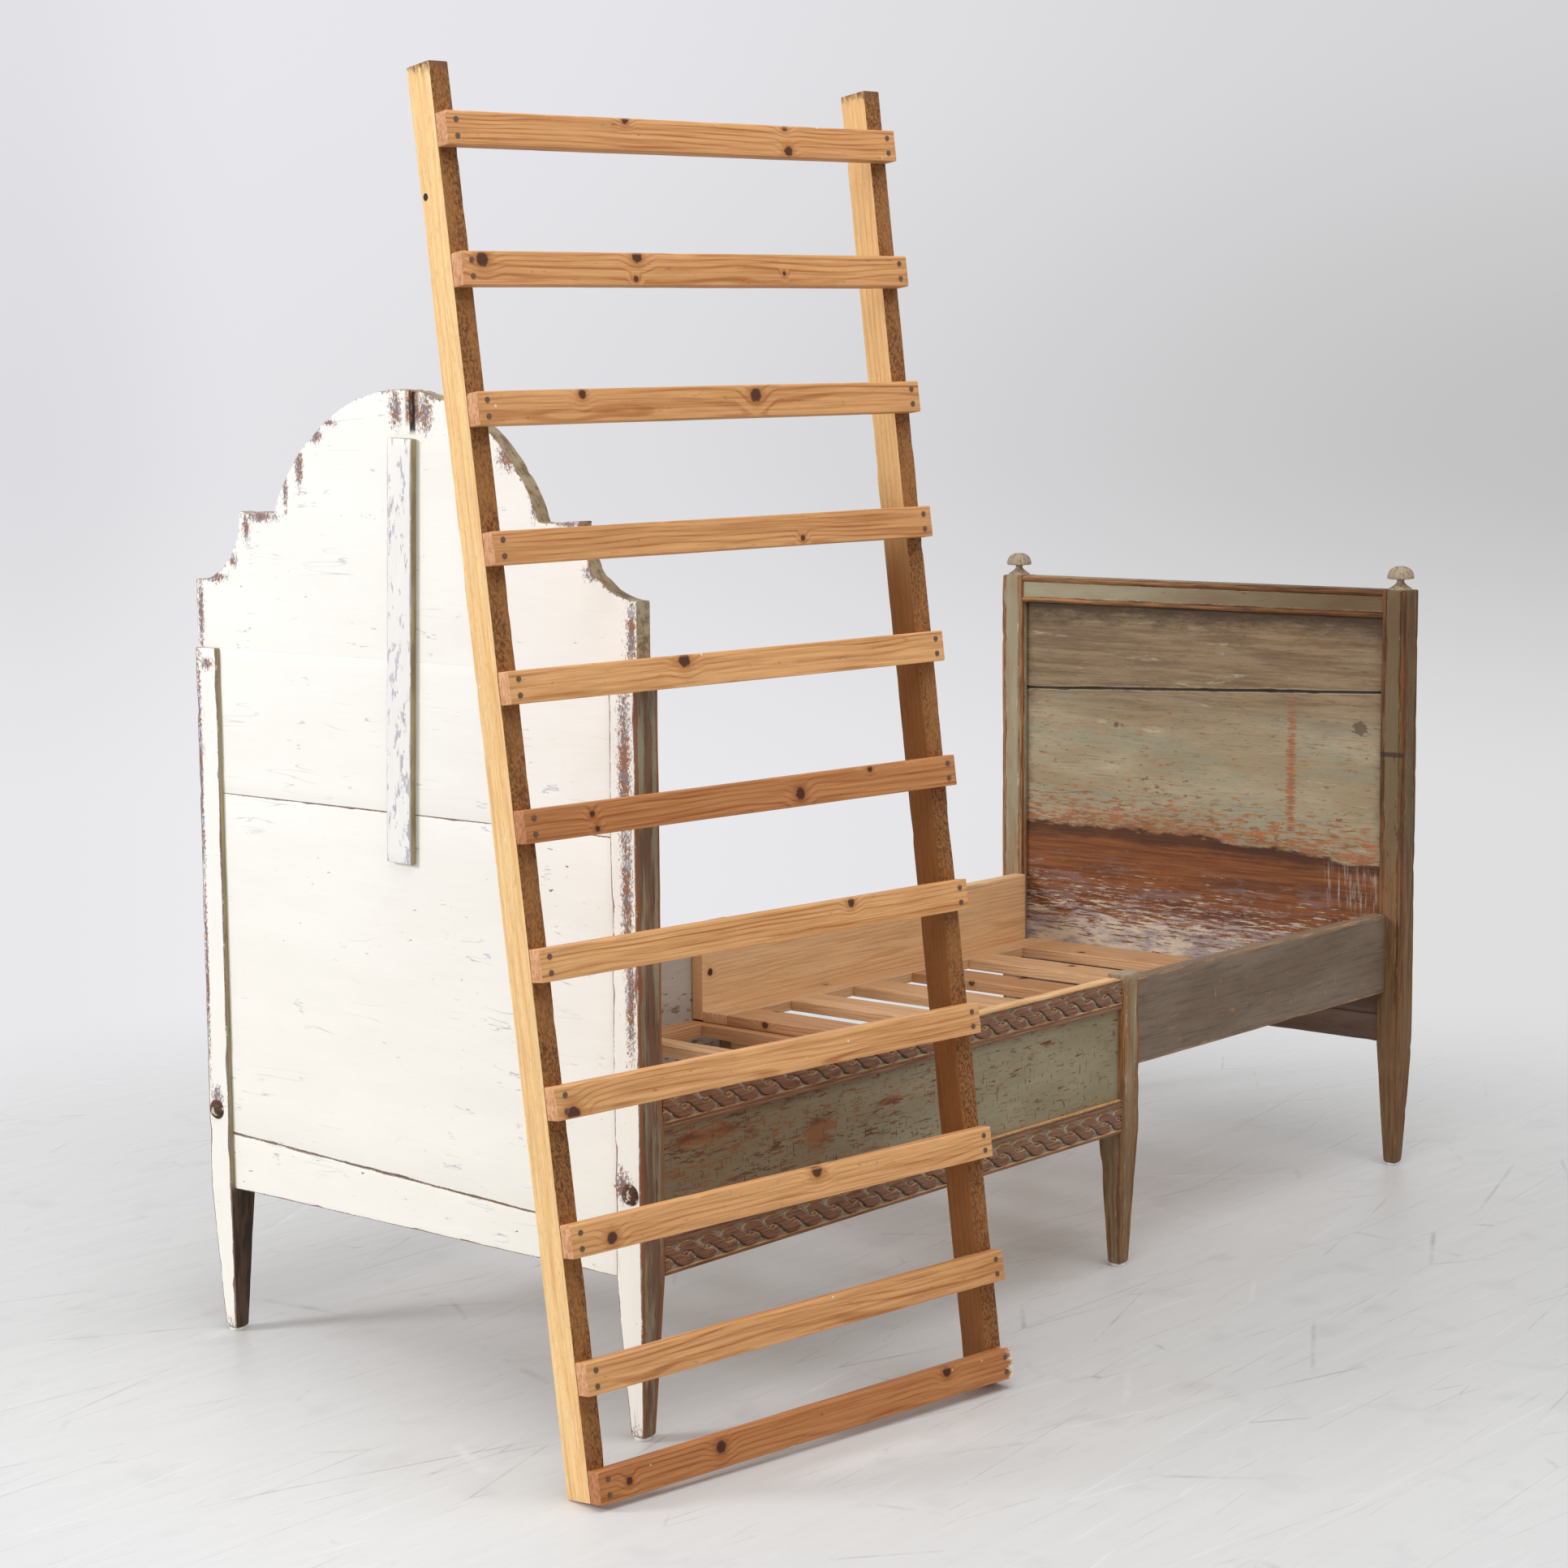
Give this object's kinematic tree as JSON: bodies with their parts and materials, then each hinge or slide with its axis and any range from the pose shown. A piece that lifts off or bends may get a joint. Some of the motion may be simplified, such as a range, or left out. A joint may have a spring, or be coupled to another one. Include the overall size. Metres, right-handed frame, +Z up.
{
  "type": "bed frame",
  "caption": "Old extending wooden bed frame with an arched headboard, a carved side and a footboard that draws out on its own slatted frame, and a loose slatted base leaning on it",
  "frame": {"origin": "on the floor, at the centre of the glide under the front head post", "axes": "+X from head to foot, +Y from the carved front to the plain back, +Z up"},
  "size_m": [2.1101, 1.0364, 1.6928],
  "materials": {
    "white_paint": "worn creamy white paint on old boards",
    "batten_paint": "scratched mauve-grey paint",
    "apron_paint": "sage green-grey paint with brown specks",
    "carved_paint": "carved, green-grey in the hollows and red-brown on the ridges",
    "back_paint": "thin grey-white paint on a plain board",
    "post_paint": "worn sage paint with orange-brown edges",
    "sage_paint": "worn sage paint with orange-brown wear",
    "finial_paint": "rubbed beige-grey paint",
    "bare_rail": "dull grey-brown bare wood",
    "old_pine": "bare old pine",
    "base_pine": "orange pine with knots and white specks",
    "rusty_iron": "rusted forged iron",
    "nail_iron": "dull dark iron",
    "glide_plastic": "white"
  },
  "bodies": {
    "head_section": {"head_post_front": "white_paint", "head_post_back": "white_paint", "headboard_crest": "white_paint", "headboard_upper_board": "white_paint", "headboard_middle_board": "white_paint", "headboard_bottom_board": "white_paint", "headboard_batten": "batten_paint", "bed_bolts": "rusty_iron", "bed_bolt_nuts": "rusty_iron", "apron_board": "apron_paint", "apron_top_strip": "carved_paint", "apron_bottom_strip": "carved_paint", "mid_post_front": "post_paint", "mid_post_back": "post_paint", "back_rail": "back_paint", "fixed_member_front": "old_pine", "fixed_member_back": "old_pine", "fixed_head_member": "old_pine", "fixed_slat_1": "old_pine", "fixed_slat_2": "old_pine", "fixed_slat_3": "old_pine", "fixed_slat_4": "old_pine", "fixed_slat_5": "old_pine", "fixed_slat_6": "old_pine", "mid_cross_rail": "old_pine", "head_glides": "glide_plastic"},
    "foot_section": {"foot_post_front": "post_paint", "foot_post_back": "post_paint", "footboard_top_rail": "post_paint", "footboard_upper_board": "sage_paint", "footboard_lower_board": "sage_paint", "footboard_bottom_rail": "sage_paint", "finial_front": "finial_paint", "finial_back": "finial_paint", "pullout_rail_front": "bare_rail", "pullout_rail_back": "bare_rail", "pullout_member_front": "old_pine", "pullout_member_back": "old_pine", "pullout_head_member": "old_pine", "pullout_foot_member": "old_pine", "pullout_slat_1": "old_pine", "pullout_slat_2": "old_pine", "pullout_slat_3": "old_pine", "pullout_slat_4": "old_pine", "foot_glides": "glide_plastic"},
    "loose_base": {"base_stringer_left": "base_pine", "base_stringer_right": "base_pine", "base_slat_1": "base_pine", "base_slat_2": "base_pine", "base_slat_3": "base_pine", "base_slat_4": "base_pine", "base_slat_5": "base_pine", "base_slat_6": "base_pine", "base_slat_7": "base_pine", "base_slat_8": "base_pine", "base_slat_9": "base_pine", "base_slat_10": "base_pine", "base_slat_11": "base_pine", "base_nails": "nail_iron"}
  },
  "joints": [
    {"name": "foot_slide", "type": "slide", "parent": "head_section", "child": "foot_section", "axis": [1, 0, 0], "range_m": [-0.764, 0]},
    {"name": "base_tilt", "type": "hinge", "parent": "head_section", "child": "loose_base", "pos_m": [-0.2235, -0.08248, 0], "axis": [0.9913, -0.1314, 0], "range_deg": [0, 7.5]}
  ]
}
